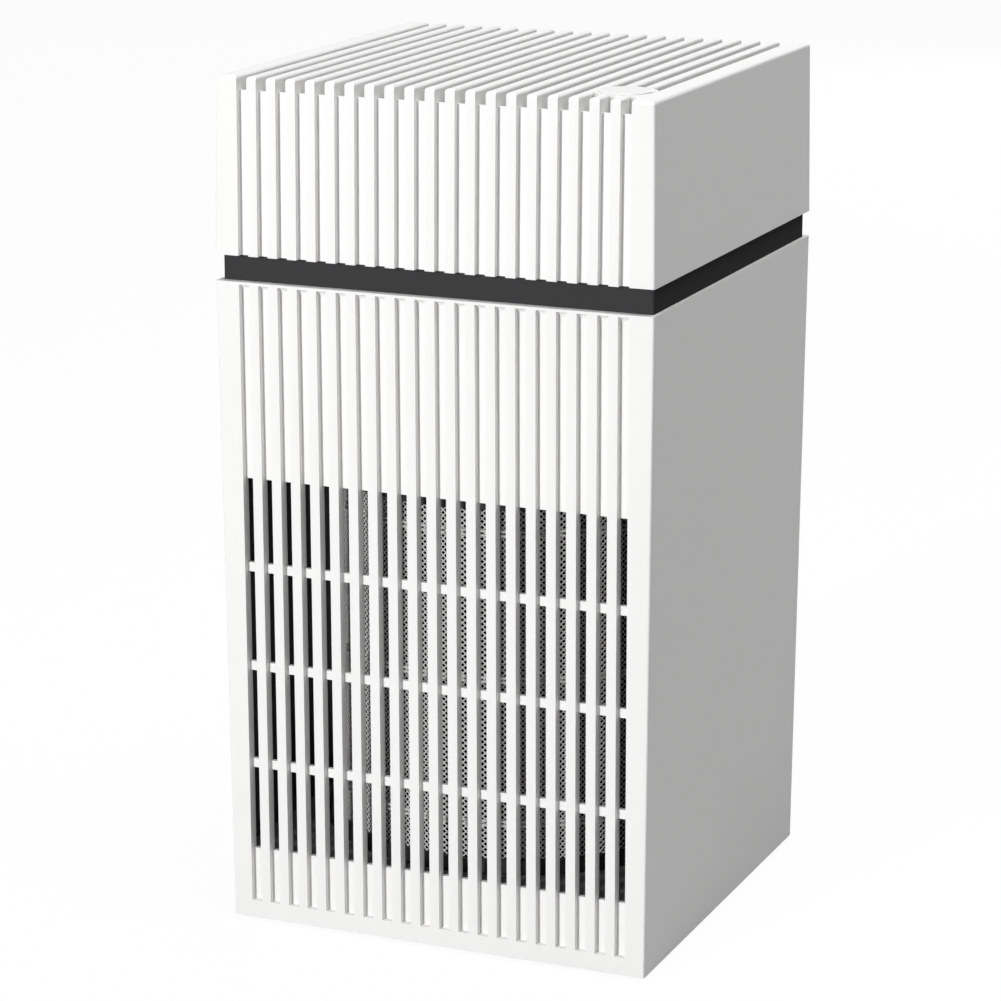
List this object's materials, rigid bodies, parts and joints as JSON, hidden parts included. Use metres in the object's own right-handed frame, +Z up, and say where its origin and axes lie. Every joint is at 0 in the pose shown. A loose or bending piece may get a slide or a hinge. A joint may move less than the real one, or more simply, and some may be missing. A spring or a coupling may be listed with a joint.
{
  "type": "air purifier",
  "caption": "Square tower air purifier with a ribbed white shell, dark neck, slotted top outlet and power button; draws room air through a drum filter and blows it out upward",
  "frame": {"origin": "on the resting plane, under the middle of the case", "axes": "+Z up, -Y is the front with the button at its right, +X is the right side seen from the front"},
  "size_m": [0.205, 0.205, 0.388],
  "materials": {
    "white_abs": "fine matt moulded white",
    "button_abs": "satin moulded white",
    "charcoal_abs": "fine matt moulded charcoal",
    "foot_rubber": "plain matt rubber",
    "zinc_steel": "zinc plated",
    "filter_cap_plastic": "black moulded",
    "foam": "closed cell foam",
    "filter_mesh": "fine light grey diamond mesh",
    "filter_paper": "dark carbon-coated pleated sheet",
    "carbon_core": "bonded carbon",
    "stator_steel": "laminated steel",
    "copper_wire": "enamelled copper wire",
    "bearing_steel": "ground steel",
    "ferrite": "sintered ferrite",
    "fan_plastic": "dark grey moulded",
    "switch_plastic": "black moulded",
    "board_laminate": "green solder mask",
    "jack_plastic": "black moulded",
    "nut_brass": "nickel plated brass"
  },
  "bodies": {
    "case": {"lower_housing": "white_abs", "head_shell": "white_abs", "neck_ring": "charcoal_abs", "base_frame": "charcoal_abs", "bottom_cover": "charcoal_abs", "feet": "foot_rubber", "base_screws": "zinc_steel", "deck_screws": "zinc_steel", "mount_screws": "zinc_steel", "neck_screws": "zinc_steel", "board_screws": "zinc_steel", "filter_cap_bottom": "filter_cap_plastic", "filter_cap_top": "filter_cap_plastic", "filter_gasket": "foam", "filter_net": "filter_mesh", "filter_media": "filter_paper", "filter_core": "carbon_core", "fan_deck": "charcoal_abs", "motor_mount": "charcoal_abs", "motor_stator": "stator_steel", "motor_windings": "copper_wire", "motor_bearings": "bearing_steel", "tact_switch": "switch_plastic", "control_board": "board_laminate", "power_inlet": "jack_plastic", "inlet_nut": "nut_brass"},
    "fan": {"impeller": "fan_plastic", "rotor_cup": "bearing_steel", "rotor_magnet": "ferrite", "motor_shaft": "bearing_steel"},
    "power_button": {"button_cap": "button_abs", "switch_plunger": "switch_plastic"},
    "filter_door": {"filter_door": "charcoal_abs"}
  },
  "joints": [
    {"name": "fan_spin", "type": "hinge", "parent": "case", "child": "fan", "pos_m": [0, 0, 0.25], "axis": [0, 0, 1], "continuous": true},
    {"name": "power_button", "type": "slide", "parent": "case", "child": "power_button", "axis": [0, 0, -1], "range_m": [0, 0.0008], "stiffness_N_per_m": 1500},
    {"name": "filter_door", "type": "hinge", "parent": "case", "child": "filter_door", "pos_m": [0, 0, 0.0185], "axis": [0, 0, -1], "range_deg": [0, 25]}
  ]
}
